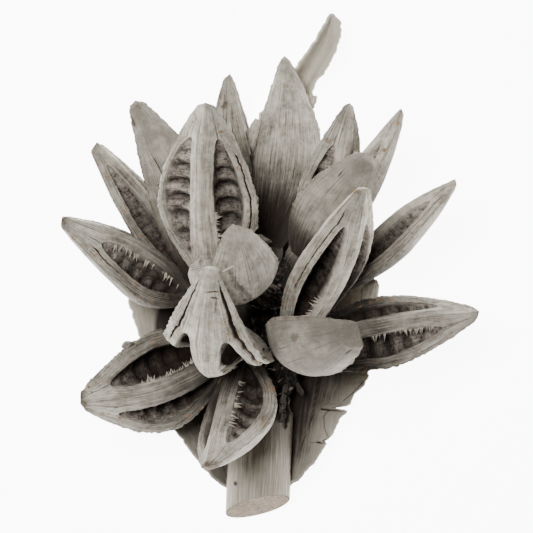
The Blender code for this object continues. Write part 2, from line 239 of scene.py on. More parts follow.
def half_section(t, shape, flank, grey, widest, seed):
    """A flank and half of the back: its section at each t, as shares of the radius, and what
    is where on it."""
    wide, along = openness(t, shape)
    ragged = rough(np.outer(t, [40.0, 0, flank * 9.0]), 1.7, seed)
    inner = (HOLLOW_MIDDLE - HOLLOW_INWARDS * wide) * (1 + 0.05 * ragged * wide)
    outer = HOLLOW_MIDDLE + (widest - HOLLOW_MIDDLE) * wide * (1 + 0.06 * ragged)
    floor = HOLLOW_DEPTH * wide
    pillow = np.ones(len(t))
    if shape.ribs:
        pillow = np.abs(np.sin(np.pi * shape.ribs * along + 0.4 * ragged)) ** 0.7
        floor = floor * (1.18 - (0.2 + 0.42 * grey) * pillow)
    # The strip by the ridge, with a fine groove in it
    strip = STRIP[None, :] * inner[:, None]
    seam = np.exp(-((STRIP - 0.33) / 0.035) ** 2)
    strip = np.stack([strip * WIDE, -strip * TALL - 0.012 * seam[None, :]
                      + 0.02 * np.sin(np.pi * STRIP)[None, :]], -1)
    # The hollow, a cubic curve between its lips that undercuts the outer one
    start = np.stack([inner * WIDE, -inner * TALL], -1)
    end = np.stack([outer * WIDE, -outer * TALL], -1)
    first = start + np.stack([-0.16 * floor, -1.3 * floor], -1)
    second = end + np.stack([-0.6 * floor, -1.0 * floor], -1)
    q = BOWL[None, :, None]
    cup = ((1 - q) ** 3 * start[:, None] + 3 * (1 - q) ** 2 * q * first[:, None]
           + 3 * (1 - q) * q * q * second[:, None] + q ** 3 * end[:, None])
    # The rim, with a hairline or an open split along its middle
    rim = outer[:, None] + RIM[None, :] * (1 - outer[:, None])
    depth, spread = 0.016 + 0 * t, 0.035 + 0 * t
    for where, low, high, open_by in shape.splits:
        if where == flank:
            gate = smooth(t, low, low + 0.08) * (1 - smooth(t, high - 0.08, high))
            depth = np.maximum(depth, 0.28 * open_by * gate)
            spread = np.maximum(spread, 0.09 * open_by * gate)
    depth = depth * (0.55 + 0.45 * smooth(ragged, -0.5, 0.2))
    wander = 0.48 + 0.03 * ragged
    split = np.exp(-((RIM[None, :] - wander[:, None]) / spread[:, None]) ** 2)
    crown = 0.022 * np.sin(np.pi * RIM)[None, :]
    lips = np.stack([rim * WIDE, -rim * TALL + crown - split * depth[:, None]], -1)
    # The rounded back, uneven where it meets the rim
    bulge = np.pi / 3 * (1 - BACK)
    torn = rough(np.outer(t, [90.0, 0, flank * 9.0]), 1.3, seed + 40)
    swell = 1 + (0.03 * ragged + 0.03 * torn)[:, None] * (1 - BACK[None, :]) ** 5
    back = np.stack([np.sin(bulge)[None, :] * swell, -np.cos(bulge)[None, :] * swell], -1)
    profile = np.concatenate([strip, cup, lips, back], 1)
    profile[..., 0] *= flank
    near_rim = np.exp(-BACK * 12)
    shell = banded(len(t), back=1 - near_rim)
    dust = grey * (0.22 + 0.78 * pillow ** 1.5) + 0.65 * smooth(along, 0.66, 1)
    # Painted shade and grime up from the valve's foot, where the capsules crowd round the core; it
    # reaches less far up on the back
    darkened_foot = (shape.soot + 0.01) * (1.15 - 0.4 * shell)
    return profile, {
        "hollow": banded(len(t), bowl=np.sin(np.pi * BOWL)[None, :] * wide[:, None]),
        "split": banded(len(t), rim=split * smooth(depth, 0.012, 0.1)[:, None]),
        "rim": banded(len(t), rim=1 - 0.6 * split, back=near_rim),
        "shell": shell,
        "seam": banded(len(t), strip=seam),
        "dust": np.broadcast_to(dust[:, None], shell.shape),
        "soot": 1 - smooth(t[:, None] / darkened_foot, 0.45, 1)}


def valve_grid(foot, shape, seed):
    """A valve's points as rows from foot to tip, what is where on it, and its lengths across
    and along the grain in mm."""
    t = ROWS_UP
    spine, ridge, side, _ = spine_of(foot, shape, t)
    (one, marks), (other, other_marks) = [
        half_section(t, shape, flank, grey, widest, seed)
        for flank, grey, widest in zip((1, -1), shape.dust, shape.reach)]
    ring = np.concatenate([one, other[:, -2:0:-1]], 1)
    marks = {name: np.concatenate([marks[name], other_marks[name][:, -2:0:-1]], 1)
             for name in marks}
    blunt = np.sqrt(np.clip(1 - smooth(t, 0.965, 1.0) ** 2, 0.02, 1))
    radius = shape.radius * MM * girth(t, shape) * blunt
    points = (spine[:, None] + side * (ring[..., 0] * radius[:, None])[..., None]
              + ridge * (ring[..., 1] * radius[:, None])[..., None])
    middle = spine - ridge * (0.5 * radius)[:, None]
    outwards = points - middle[:, None]
    outwards /= np.maximum(np.linalg.norm(outwards, axis=-1, keepdims=True), 1e-9)
    near_tip = smooth(t, 0.86, 1.0)[:, None]
    # Lumps, in mm: gentle ones all over, crumbs at the tip, and rough, broken rims
    lump = (0.45 * rough(points, 14 * MM, seed) + 0.14 * rough(points, 4 * MM, seed + 3)
            + (0.5 + shape.end) * near_tip * rough(points, 3 * MM, seed + 5)
            + (0.46 * rough(points, 2 * MM, seed + 9) + 0.3 * rough(points, 0.9 * MM, seed))
            * marks["rim"] * smooth(t, 0, 0.1)[:, None])
    points = points + outwards * (lump * MM)[..., None]
    closed = np.concatenate([ring, ring[:, :1]], 1)
    width = np.linalg.norm(np.diff(closed, axis=1), axis=-1).mean(0)
    across = np.concatenate([[0], np.cumsum(width)]) * shape.radius
    long = t * (Vector(shape.tip) - Vector(foot)).length
    marks["tip"] = shape.burnt * near_tip * np.ones(ring.shape[:2])
    # How far the whole valve is darkened: worn-off wash, and painted shade on valves that face away
    # from the light
    marks["wear"] = np.full(ring.shape[:2], float(shape.wear))
    return points, marks, across, long


def stalk_grid(foot, root, seed):
    """A capsule's stalk: a wrinkled rod that swells into the foot of its valves."""
    ball_radius, rod_radius, past_foot = 9.4, 5.9, 8
    top, low = Vector(foot) * MM, Vector(root) * MM
    way = (top - low).normalized()
    sideways = way.orthogonal().normalized()
    other = way.cross(sideways)
    reach = (top - low).length
    rows, columns = 34, 40
    t = np.linspace(0, reach + past_foot * MM, rows)
    from_foot = t - reach
    ball = np.sqrt(np.clip(1 - (from_foot / (ball_radius * MM)) ** 2, 0, 1)) * ball_radius
    rod = rod_radius * (1 - smooth(from_foot, 0, past_foot * MM))
    radius = np.maximum(np.maximum(ball, rod), 0.6) * MM
    turn = np.linspace(0, 2 * np.pi, columns + 1)[:-1]
    wrinkle = 1 - 0.05 * np.abs(np.sin(turn * 6 + seed))
    ring = (np.outer(np.cos(turn) * wrinkle, sideways) + np.outer(np.sin(turn) * wrinkle, other))
    points = np.array(low) + np.outer(t, way)[:, None] + radius[:, None, None] * ring
    return points, {}, np.linspace(0, 38, columns + 1), t / MM


def piece_of(name, places, faces, spots, finish, marks={}):
    """A mesh object of smooth faces with one finish, a grain map (its spots in mm, one for
    each corner) and a field for each mark."""
    mesh = bpy.data.meshes.new(name)
    mesh.from_pydata(places.reshape(-1, 3).tolist(), [], faces)
    layer = mesh.uv_layers.new(name="grain")
    layer.data.foreach_set("uv", np.array(spots, np.float32).reshape(-1) * MM)
    for mark, values in marks.items():
        field = mesh.attributes.new(mark, "FLOAT", "POINT")
        field.data.foreach_set("value", values.reshape(-1).astype(np.float32))
    mesh.polygons.foreach_set("use_smooth", [True] * len(mesh.polygons))
    mesh.materials.append(finish)
    made = bpy.data.objects.new(name, mesh)
    bpy.context.scene.collection.objects.link(made)
    return made


def joined(name, grids, finish, names=()):
    """One piece from grids of points, each closed round and capped at both ends."""
    places, faces, spots = [], [], []
    marks = {mark: [] for mark in names}
    first = 0
    for points, fields, across, long in grids:
        rows, count = points.shape[:2]
        places += [points.reshape(-1, 3), points[[0, -1]].mean(1)]
        for row in range(rows - 1):
            for k in range(count):
                after = (k + 1) % count
                a, b = first + row * count, first + (row + 1) * count
                faces.append((a + k, a + after, b + after, b + k))
                spots += [(across[k], long[row]), (across[k + 1], long[row]),
                          (across[k + 1], long[row + 1]), (across[k], long[row + 1])]
        for row, end, flip in ((0, first + rows * count, 1), (rows - 1, first + rows * count + 1, -1)):
            for k in range(count):
                a = first + row * count
                corner = (a + (k + 1) % count, a + k, end)
                faces.append(corner[::flip])
                spots += [(across[k], long[row])] * 3
        for mark in names:
            field = fields.get(mark, np.zeros((rows, count)))
            marks[mark] += [field.reshape(-1), [field[0].mean(), field[-1].mean()]]
        first += rows * count + 2
    marks = {mark: np.concatenate(values) for mark, values in marks.items()}
    return piece_of(name, np.concatenate(places), faces, spots, finish, marks)


# Whitewashed capsule wood: a thin chalky lime wash over grey-brown wood. It gives matt, broken
# white with fine lengthwise streaks, brown where the wash never reached, and rust in splits.
capsule_wood, tree = finish_called("whitewashed_capsule_wood")
grain = add(tree, "ShaderNodeUVMap", uv_map="grain").outputs[0]
place = add(tree, "ShaderNodeTexCoord").outputs["Object"]
mark = {name: add(tree, "ShaderNodeAttribute", attribute_name=name).outputs["Fac"]
        for name in MARKS}
# Streaks 0.7 mm apart and about 20 mm long
stretched = add(tree, "ShaderNodeMapping", {0: grain, "Scale": (1400, 50, 1)}).outputs[0]
streak = add(tree, "ShaderNodeTexNoise", {0: stretched, "Scale": 1.0, "Detail": 4.0,
                                          "Roughness": 0.6}).outputs[0]
# Patches of thick and thin wash, about 14 mm across, broken up into blots of 3 mm
patch = add(tree, "ShaderNodeTexNoise", {0: place, "Scale": 72.0, "Detail": 6.0,
                                         "Roughness": 0.62}).outputs[0]
blot = add(tree, "ShaderNodeTexNoise", {0: place, "Scale": 330.0, "Detail": 5.0,
                                        "Roughness": 0.7}).outputs[0]
# Chalk specks, about 0.8 mm across
speck = add(tree, "ShaderNodeTexNoise", {0: place, "Scale": 1200.0, "Detail": 2.0}).outputs[0]
# The wash is thick where these run high. Each layer over the bare wood is its share and colour.
thin = 0.0
for pattern, weight in ((streak, 0.38), (patch, 0.36), (blot, 0.26)):
    thin = add(tree, "ShaderNodeMath", {0: pattern, 1: weight, 2: thin},
               operation="MULTIPLY_ADD").outputs[0]
wash = add(tree, "ShaderNodeMapRange", {0: thin, 1: 0.395, 2: 0.575}).outputs[0]
# Darker patches over the valve, as strong as its wear mark: worn-off wash, and painted shade on valves
# that face away from the light
uneven = add(tree, "ShaderNodeMath", {0: patch, 1: -1.4, 2: 1.55},
             operation="MULTIPLY_ADD").outputs[0]
uneven = add(tree, "ShaderNodeMath", {0: uneven, 1: mark["wear"]}, operation="MULTIPLY").outputs[0]
chalky = add(tree, "ShaderNodeMapRange", {0: speck, 1: 0.52, 2: 0.8, 4: 0.12}).outputs[0]
layers = [(wash, tint("#B1AB9E")), (uneven, tint("#625D54")), (chalky, tint("#BDB6AC"))]
# Dark hairlines along the grain, thickest on the rims
fine = add(tree, "ShaderNodeMapping", {0: grain, "Scale": (2100, 34, 1)}).outputs[0]
hair = add(tree, "ShaderNodeTexNoise", {0: fine, "Scale": 1.0, "Detail": 3.0}).outputs[0]
edged = add(tree, "ShaderNodeMath", {0: mark["rim"], 1: 0.05, 2: 0.36},
            operation="MULTIPLY_ADD").outputs[0]
hair = add(tree, "ShaderNodeMath", {0: edged, 1: hair}, operation="SUBTRACT").outputs[0]
hair = add(tree, "ShaderNodeMapRange", {0: hair, 1: -0.02, 2: 0.05, 4: 0.75}).outputs[0]
layers.append((hair, tint("#3B332B")))
# Fine beige lines beside the ridge, where the capsule's inner wall shows
line = add(tree, "ShaderNodeMath", {0: mark["seam"], 1: 0.6}, operation="MULTIPLY").outputs[0]
layers.append((line, tint("#85725C")))
# The seed hollows: bare brown-grey wood, nearly black at the bottom, or greyed by lime dust
deep = add(tree, "ShaderNodeMapRange", {0: mark["hollow"], 1: 0.02, 2: 0.3}).outputs[0]
across_grain = add(tree, "ShaderNodeMapping", {0: grain, "Scale": (140, 1500, 1)}).outputs[0]
strand = add(tree, "ShaderNodeTexNoise", {0: across_grain, "Scale": 1.0,
                                          "Detail": 3.0}).outputs[0]
dusty = add(tree, "ShaderNodeMath", {0: strand, 1: 0.35, 2: blot},
            operation="MULTIPLY_ADD").outputs[0]
dusty = add(tree, "ShaderNodeMapRange", {0: dusty, 1: 0.53, 2: 0.84}).outputs[0]
bare, greyed = (add(tree, "ShaderNodeMix", {0: dusty, 6: tint(dark), 7: tint(light)},
                    data_type="RGBA").outputs[2]
                for dark, light in (("#050403", "#231D19"), ("#423B35", "#A89F94")))
bare = add(tree, "ShaderNodeMix", {0: mark["dust"], 6: bare, 7: greyed},
           data_type="RGBA").outputs[2]
layers.append((deep, bare))
# Brown grime and painted shade near the core, drawn out along the grain, and up from the foot of some
# valves: the dark stands for dirt and for the shade that falls between the capsules.
from_core = add(tree, "ShaderNodeMapping", {0: place, "Location": (0.002, 0.03, -0.048),
                                            "Scale": (1, 1, 1.6)})
far = add(tree, "ShaderNodeVectorMath", {0: from_core.outputs[0]}, operation="LENGTH").outputs[1]
far = add(tree, "ShaderNodeMath", {0: streak, 1: 0.045, 2: far},
          operation="MULTIPLY_ADD").outputs[0]
grime_and_shade = add(tree, "ShaderNodeMapRange", {0: far, 1: 0.14, 2: 0.082, 4: 0.93}).outputs[0]
darkened_foot = add(tree, "ShaderNodeMath", {0: streak, 1: -1.1, 2: 0.55},
            operation="MULTIPLY_ADD").outputs[0]
darkened_foot = add(tree, "ShaderNodeMath", {0: mark["soot"], 1: darkened_foot}, operation="ADD").outputs[0]
darkened_foot = add(tree, "ShaderNodeMapRange", {0: darkened_foot, 1: 0.2, 2: 1.05, 4: 0.88}).outputs[0]
layers += [(grime_and_shade, tint("#1D1713")), (darkened_foot, tint("#241D18"))]
# Single cracks and stains on the outer faces: middle, half length, half width (in mm), the
# direction in degrees, how strong, and the colour
Scar = namedtuple("Scar", "x y long wide way strong colour")
SCARS = [
    Scar(-58.5, 54.4, 12, 0.45, -61, 0.9, "#2B241F"), Scar(-57, 44, 3, 0.4, 10, 0.8, "#2B241F"),
    Scar(-72.3, 78.6, 3.6, 1.1, -70, 0.8, "#33281F"), Scar(-23.3, 88.4, 4, 1.7, 80, 0.8, "#4A4037"),
    Scar(41, -42.5, 2.8, 0.5, 35, 0.9, "#241D18"), Scar(14, -36.2, 3.4, 2.1, 70, 0.6, "#4A4036"),
    Scar(38.6, 48.6, 3.4, 0.4, 50, 0.9, "#2B241F"), Scar(14.1, 79.4, 3.4, 0.3, 90, 0.8, "#3A3028"),
    Scar(-15, -9, 14, 2.0, -62, 0.6, "#3A342E"), Scar(-9, -15, 11, 1.6, -50, 0.6, "#3A342E"),
    Scar(27.6, 84, 9, 0.9, -70, 0.8, "#8C6A33"), Scar(-19, -1, 4, 0.5, 28, 0.9, "#BDB7AC"),
    Scar(9, 74, 5, 1.6, 80, 0.5, "#5F5445"), Scar(46, 60.5, 5.5, 2.2, 10, 0.7, "#B3ACA0"),
    Scar(-27, -12.5, 4, 0.6, 4, 0.9, "#3A3028"), Scar(-26, -15.5, 3, 0.6, -8, 0.9, "#3A3028"),
    Scar(-25, -19, 5, 0.4, 80, 0.8, "#5A4A3A"), Scar(-27, -2, 4, 2.5, 0, 0.6, "#BDB7AC"),
    Scar(44.5, 38, 4.5, 0.5, 55, 0.9, "#7A5F38"), Scar(50.5, 37.5, 4, 0.5, 100, 0.9, "#7A5F38"),
]
EVERY_HEIGHT = 1e6
outside = add(tree, "ShaderNodeMath", {0: 1.0, 1: deep}, operation="SUBTRACT").outputs[0]
for scar in SCARS:
    framed = add(tree, "ShaderNodeMapping", {
        0: place, "Location": (scar.x * MM, scar.y * MM, 0),
        "Rotation": (0, 0, math.radians(scar.way)),
        "Scale": (scar.long * MM, scar.wide * MM, EVERY_HEIGHT)}, vector_type="TEXTURE")
    within = add(tree, "ShaderNodeVectorMath", {0: framed.outputs[0]},
                 operation="LENGTH").outputs[1]
    within = add(tree, "ShaderNodeMath", {0: blot, 1: 2.0, 2: within},
                 operation="MULTIPLY_ADD").outputs[0]
    within = add(tree, "ShaderNodeMapRange", {0: within, 1: 2.0, 2: 1.5,
                                              4: scar.strong}).outputs[0]
    within = add(tree, "ShaderNodeMath", {0: within, 1: outside},
                 operation="MULTIPLY").outputs[0]
    layers.append((within, tint(scar.colour)))
# A broken brown line along the lips, where the outer layer chipped
inner_side = add(tree, "ShaderNodeMapRange", {0: mark["shell"], 1: 0.02, 2: 0.15}).outputs[0]
outer_side = add(tree, "ShaderNodeMapRange", {0: mark["shell"], 1: 0.75, 2: 0.35}).outputs[0]
chipped = add(tree, "ShaderNodeMapRange", {0: blot, 1: 0.47, 2: 0.58, 4: 0.8}).outputs[0]
# Rust-brown stains and dark pits along the rims and at the tips
stain_spot = add(tree, "ShaderNodeTexNoise", {0: place, "Scale": 190.0, "Detail": 3.0,
                                              "Roughness": 0.7}).outputs[0]
stain = add(tree, "ShaderNodeMapRange", {0: stain_spot, 1: 0.575, 2: 0.7}).outputs[0]
worn = add(tree, "ShaderNodeMath", {0: mark["rim"], 1: mark["tip"]}, operation="MAXIMUM").outputs[0]
burnt = add(tree, "ShaderNodeMath", {0: blot, 1: 1.6, 2: mark["tip"]},
            operation="MULTIPLY_ADD").outputs[0]
burnt = add(tree, "ShaderNodeMapRange", {0: burnt, 1: 1.4, 2: 1.8, 4: 0.85}).outputs[0]
pit = add(tree, "ShaderNodeTexVoronoi", {0: place, "Scale": 420.0}).outputs[0]
pit = add(tree, "ShaderNodeMapRange", {0: pit, 1: 0.16, 2: 0.08}).outputs[0]
sparse = add(tree, "ShaderNodeMapRange", {0: stain_spot, 1: 0.5, 2: 0.56}).outputs[0]
damage = []
for covered, places in ((chipped, (inner_side, outer_side)), (stain, (worn,)),
                        (pit, (sparse, worn))):
    for where in places:
        covered = add(tree, "ShaderNodeMath", {0: covered, 1: where},
                      operation="MULTIPLY").outputs[0]
    damage.append(covered)
chipped, stain, pit = damage
# The splits: rust at their lips and nearly black inside
lips = add(tree, "ShaderNodeMapRange", {0: mark["split"], 1: 0.08, 2: 0.3}).outputs[0]
black = add(tree, "ShaderNodeMapRange", {0: mark["split"], 1: 0.2, 2: 0.45}).outputs[0]
layers += [(chipped, tint("#4E3E31")), (stain, tint("#7A5E45")), (burnt, tint("#40301F")),
           (pit, tint("#2B2420")), (lips, tint("#453527")), (black, tint("#15100D"))]
colour = tint("#5E584D")
for covered, over in layers:
    colour = add(tree, "ShaderNodeMix", {0: covered, 6: colour, 7: over},
                 data_type="RGBA").outputs[2]
relief = streak
for pattern, weight in ((speck, 0.5), (pit, -1.5), (hair, -0.8), (blot, 1.6)):
    relief = add(tree, "ShaderNodeMath", {0: pattern, 1: weight, 2: relief},
                 operation="MULTIPLY_ADD").outputs[0]
bump = add(tree, "ShaderNodeBump", {"Height": relief, "Strength": 0.8, "Distance": 0.0005})
# Only the wash has a slight sheen, and the bare hollows have none
sheen = add(tree, "ShaderNodeMapRange", {0: deep, 3: 0.12, 4: 0.0}).outputs[0]
surface = add(tree, "ShaderNodeBsdfPrincipled", {
    "Base Color": colour, "Roughness": 0.82, "Normal": bump.outputs[0],
    "Specular IOR Level": sheen})
add(tree, "ShaderNodeOutputMaterial", {"Surface": surface.outputs[0]})

for order, (name, (foot, root, valves)) in enumerate(PODS.items()):
    grids = [stalk_grid(foot, root, order)]
    grids += [valve_grid(foot, shape, 10 * order + number)
              for number, shape in enumerate(valves, 1)]
    capsule = joined(name.replace("pod", "capsule"), grids, capsule_wood, MARKS)
    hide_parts(name)
    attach(capsule, "root")


# Torn fibres: where a hollow's ridge side broke, pale wood fibres stand out across the hollow
# like teeth. They are part of the capsule's inner layer, 1 to 5 mm long and tapered.
# Where they are: the capsule and valve, the flank, from and to
TEETH = {
    ("pod_front", 0): [(-1, 0.12, 0.5)],
    ("pod_front", 1): [(-1, 0.16, 0.6)],
    ("pod_front", 2): [(1, 0.25, 0.62)],
    ("pod_upper_left", 0): [(-1, 0.12, 0.36)],
    ("pod_left", 2): [(1, 0.15, 0.66)],
    ("pod_lower_right", 0): [(1, 0.14, 0.36)],
    ("pod_lower_right", 1): [(-1, 0.4, 0.75)],
}
fringe_places, fringe_ways = [], []
draw = random.Random(11)
for (name, number), torn in TEETH.items():
    foot, _, valves = PODS[name]
    shape = valves[number]
    for flank, low, high in torn:
        t = np.linspace(low, high, int((high - low) * 150))
        t = t + np.array([draw.uniform(-0.012, 0.012) for _ in t])
        t = t[rough(np.outer(t, [40.0, 0, 0]), 1.2, number + 3) > -0.2]
        spine, ridge, side, axis = spine_of(foot, shape, t)
        wide, _ = openness(t, shape)
        inner = HOLLOW_MIDDLE - HOLLOW_INWARDS * wide
        radius = shape.radius * MM * girth(t, shape)
        across = side * flank * WIDE - ridge * TALL
        for at, share, reach in zip(spine, inner, radius):
            fringe_places.append(at + across * (share - 0.01) * reach
                                 - ridge * draw.uniform(0, 0.05) * reach)
            fringe_ways.append(across * draw.uniform(0.6, 1.0) - ridge * draw.uniform(0.1, 0.9)
                               + axis * draw.uniform(-0.6, 0.3))


def growth_called(name, labels):
    """A new Geometry Nodes tree with a size input for each label, and what it is given."""
    tree = bpy.data.node_groups.new(name, "GeometryNodeTree")
    tree.interface.new_socket("Geometry", in_out="INPUT", socket_type="NodeSocketGeometry")
    for label in labels:
        tree.interface.new_socket(label, in_out="INPUT", socket_type="NodeSocketFloat")
    tree.interface.new_socket("Geometry", in_out="OUTPUT", socket_type="NodeSocketGeometry")
    return tree, add(tree, "NodeGroupInput").outputs


toothed, given = growth_called("torn_fibres", ("Fibre length", "Fibre thickness"))
spike = add(toothed, "GeometryNodeMeshCone", {
    "Vertices": 5, "Side Segments": 3, "Fill Segments": 1, "Radius Top": 0.00004,
    "Radius Bottom": given["Fibre thickness"], "Depth": given["Fibre length"]})
way = add(toothed, "GeometryNodeInputNamedAttribute", {"Name": "way"}, data_type="FLOAT_VECTOR")
aimed = add(toothed, "FunctionNodeAlignRotationToVector", {"Vector": way.outputs[0]}, axis="Z")
grown = add(toothed, "FunctionNodeRandomValue", {2: 0.15, 3: 1.2, "Seed": 5},
            data_type="FLOAT")
points = add(toothed, "GeometryNodeMeshToPoints", {"Mesh": given["Geometry"]})
placed = add(toothed, "GeometryNodeInstanceOnPoints", {
    "Points": points.outputs[0], "Instance": spike.outputs[0], "Rotation": aimed.outputs[0],
    "Scale": grown.outputs[1]})
real = add(toothed, "GeometryNodeRealizeInstances", {0: placed.outputs[0]})
worn_pale = add(toothed, "GeometryNodeSetMaterial", {"Geometry": real.outputs[0]})
add(toothed, "NodeGroupOutput", {0: worn_pale.outputs[0]})


def grown_by(name, mesh, tree, sizes, finish):
    """The plain mesh object that a Geometry Nodes tree makes of a mesh."""
    for step in tree.nodes:
        if step.bl_idname == "GeometryNodeSetMaterial":
            step.inputs["Material"].default_value = finish
    seed_object = bpy.data.objects.new(name, mesh)
    bpy.context.scene.collection.objects.link(seed_object)
    grower = seed_object.modifiers.new(name, "NODES")
    grower.node_group = tree
    for socket in tree.interface.items_tree:
        if socket.item_type == "SOCKET" and socket.name in sizes:
            grower[socket.identifier] = sizes[socket.name]
    bpy.context.view_layer.update()
    evaluated = seed_object.evaluated_get(bpy.context.evaluated_depsgraph_get())
    grown = bpy.data.meshes.new_from_object(evaluated)
    bpy.data.objects.remove(seed_object)
    grown.polygons.foreach_set("use_smooth", [True] * len(grown.polygons))
    made = bpy.data.objects.new(name, grown)
    bpy.context.scene.collection.objects.link(made)
    return made


# Pale torn wood: bare inner wood with lime on it, lighter than the hollow that it crosses
torn_wood, tree = finish_called("pale_torn_wood")
place = add(tree, "ShaderNodeTexCoord").outputs["Object"]
mottle = add(tree, "ShaderNodeTexNoise", {0: place, "Scale": 300.0}).outputs[0]
colour = add(tree, "ShaderNodeMix", {0: mottle, 6: tint("#6E655A"), 7: tint("#ADA496")},
             data_type="RGBA").outputs[2]
surface = add(tree, "ShaderNodeBsdfPrincipled", {"Base Color": colour, "Roughness": 0.8})
add(tree, "ShaderNodeOutputMaterial", {"Surface": surface.outputs[0]})

seeds = bpy.data.meshes.new("fringe_roots")
seeds.from_pydata([tuple(at) for at in fringe_places], [], [])
ways = seeds.attributes.new("way", "FLOAT_VECTOR", "POINT")
ways.data.foreach_set("vector", np.array(fringe_ways, np.float32).reshape(-1))
fringe = grown_by("torn_fibres", seeds, toothed,
                  {"Fibre length": 0.0042, "Fibre thickness": 0.00055}, torn_wood)
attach(fringe, "root")


# The stem: a cut length of the flower stalk, an oval rod of parallel fibres. A slanting cut
# shows its porous inside, and its other end is rounded off where it joins the core.
STEM_HALF_WIDTH, STEM_HALF_HEIGHT, STEM_CENTRE_Z = 18.0, 13.0, 16.0
STEM_TOP_Y, STEM_END_Y, STEM_TOP_X, STEM_END_X = -80.3, -134.4, -3.0, -5.0
STEM_LENGTH, STEM_GIRTH = 54, 98
CUT_LEAN, CUT_SLOPE = math.tan(math.radians(27)), math.tan(math.radians(13))
GROOVE_DEPTH = 0.014
# How far, in mm, the cut face crumbles and the whole stem is uneven
CRUMBLE, UNEVEN = 0.35, 0.25
STEM_COLUMNS = 240
turn = np.linspace(0, 2 * np.pi, STEM_COLUMNS + 1)[:-1]
around = np.stack([np.cos(turn), np.sin(turn), 0 * turn], -1)
fibre = 0.65 * rough(around, 0.055, 3) + 0.35 * rough(around, 0.3, 5)
# Its rows: the rounded shoulder at the core, the side, the bruised edge and the cut face
shoulder = np.linspace(0, 1, 9)[1:-1]
side = np.linspace(0, 1, 60)
face = np.linspace(0.93, 0.03, 26)
uncut = len(shoulder) + len(side)
scale = np.concatenate([0.72 + 0.28 * np.sqrt(1 - (1 - shoulder) ** 2), np.ones(len(side)),
                        [0.99, 0.96], face])
share = np.concatenate([0.05 * shoulder, 0.05 + 0.95 * side[1:], np.ones(3 + len(face))])
cut = np.concatenate([np.zeros(uncut), [0.3, 0.8], np.ones(len(face))])
groove = 1 + GROOVE_DEPTH * fibre[None, :] * (1 - cut)[:, None]
x = (np.cos(turn) * STEM_HALF_WIDTH)[None, :] * scale[:, None] * groove
z = (np.sin(turn) * STEM_HALF_HEIGHT)[None, :] * scale[:, None] * groove
end_y = STEM_END_Y + CUT_LEAN * z + CUT_SLOPE * x
y = STEM_TOP_Y + (end_y - STEM_TOP_Y) * share[:, None]
middle = STEM_TOP_X + (STEM_END_X - STEM_TOP_X) * share
points = np.stack([x + middle[:, None], y, z + STEM_CENTRE_Z], -1) * MM
crumble = rough(points, 1.6 * MM, 21) + 0.6 * rough(points, 5 * MM, 22)
points[..., 1] += CRUMBLE * crumble * cut[:, None] * MM
points[..., 0] += UNEVEN * rough(points, 12 * MM, 23) * MM
marks = {"cut": cut[:, None] * np.ones(points.shape[:2])}
across = np.linspace(0, STEM_GIRTH, STEM_COLUMNS + 1)
long = np.concatenate([share[:uncut] * STEM_LENGTH, STEM_LENGTH + (1 - scale[uncut:]) * 16])

# Whitewashed stalk: parallel fibres under a thin lime wash, with the wash worn off between
# them. The cut end is bare beige pith, freckled with the dark mouths of its vessels.
stalk_wood, tree = finish_called("whitewashed_stalk")
grain = add(tree, "ShaderNodeUVMap", uv_map="grain").outputs[0]
place = add(tree, "ShaderNodeTexCoord").outputs["Object"]
cut_end = add(tree, "ShaderNodeAttribute", attribute_name="cut").outputs["Fac"]
# Fibres 0.5 mm apart, whose dark lines are about 20 mm long
stretched = add(tree, "ShaderNodeMapping", {0: grain, "Scale": (1900, 50, 1)}).outputs[0]
streak = add(tree, "ShaderNodeTexNoise", {0: stretched, "Scale": 1.0, "Detail": 2.0,
                                          "Roughness": 0.5}).outputs[0]
patch = add(tree, "ShaderNodeTexNoise", {0: place, "Scale": 70.0, "Detail": 4.0}).outputs[0]
thin = 0.0
for pattern, weight in ((streak, 0.8), (patch, 0.3)):
    thin = add(tree, "ShaderNodeMath", {0: pattern, 1: weight, 2: thin},
               operation="MULTIPLY_ADD").outputs[0]
wash = add(tree, "ShaderNodeMapRange", {0: thin, 1: 0.38, 2: 0.66}).outputs[0]
# Grime and painted shade at the top of the stem, where it comes out of the core under the capsules
height = add(tree, "ShaderNodeSeparateXYZ", {0: place}).outputs[1]
height = add(tree, "ShaderNodeMath", {0: streak, 1: 0.03, 2: height},
             operation="MULTIPLY_ADD").outputs[0]
grime_and_shade = add(tree, "ShaderNodeMapRange", {0: height, 1: -0.062, 2: -0.05, 4: 0.5}).outputs[0]
# Vessel mouths about 1.1 mm apart
vessel = add(tree, "ShaderNodeTexVoronoi", {0: place, "Scale": 900.0}).outputs[0]
vessel = add(tree, "ShaderNodeMapRange", {0: vessel, 1: 0.42, 2: 0.16}).outputs[0]
pith_tone = add(tree, "ShaderNodeTexNoise", {0: place, "Scale": 260.0, "Detail": 3.0}).outputs[0]
pith = add(tree, "ShaderNodeMix", {0: pith_tone, 6: tint("#54463A"), 7: tint("#988875")},
           data_type="RGBA").outputs[2]
pith = add(tree, "ShaderNodeMix", {0: vessel, 6: pith, 7: tint("#33291F")},
           data_type="RGBA").outputs[2]
# A brown, bruised line round the cut
bruise = add(tree, "ShaderNodeMapRange", {0: cut_end, 1: 0.02, 2: 0.3}).outputs[0]
whole = add(tree, "ShaderNodeMapRange", {0: cut_end, 1: 0.99, 2: 0.7}).outputs[0]
bruise = add(tree, "ShaderNodeMath", {0: bruise, 1: whole}, operation="MULTIPLY").outputs[0]
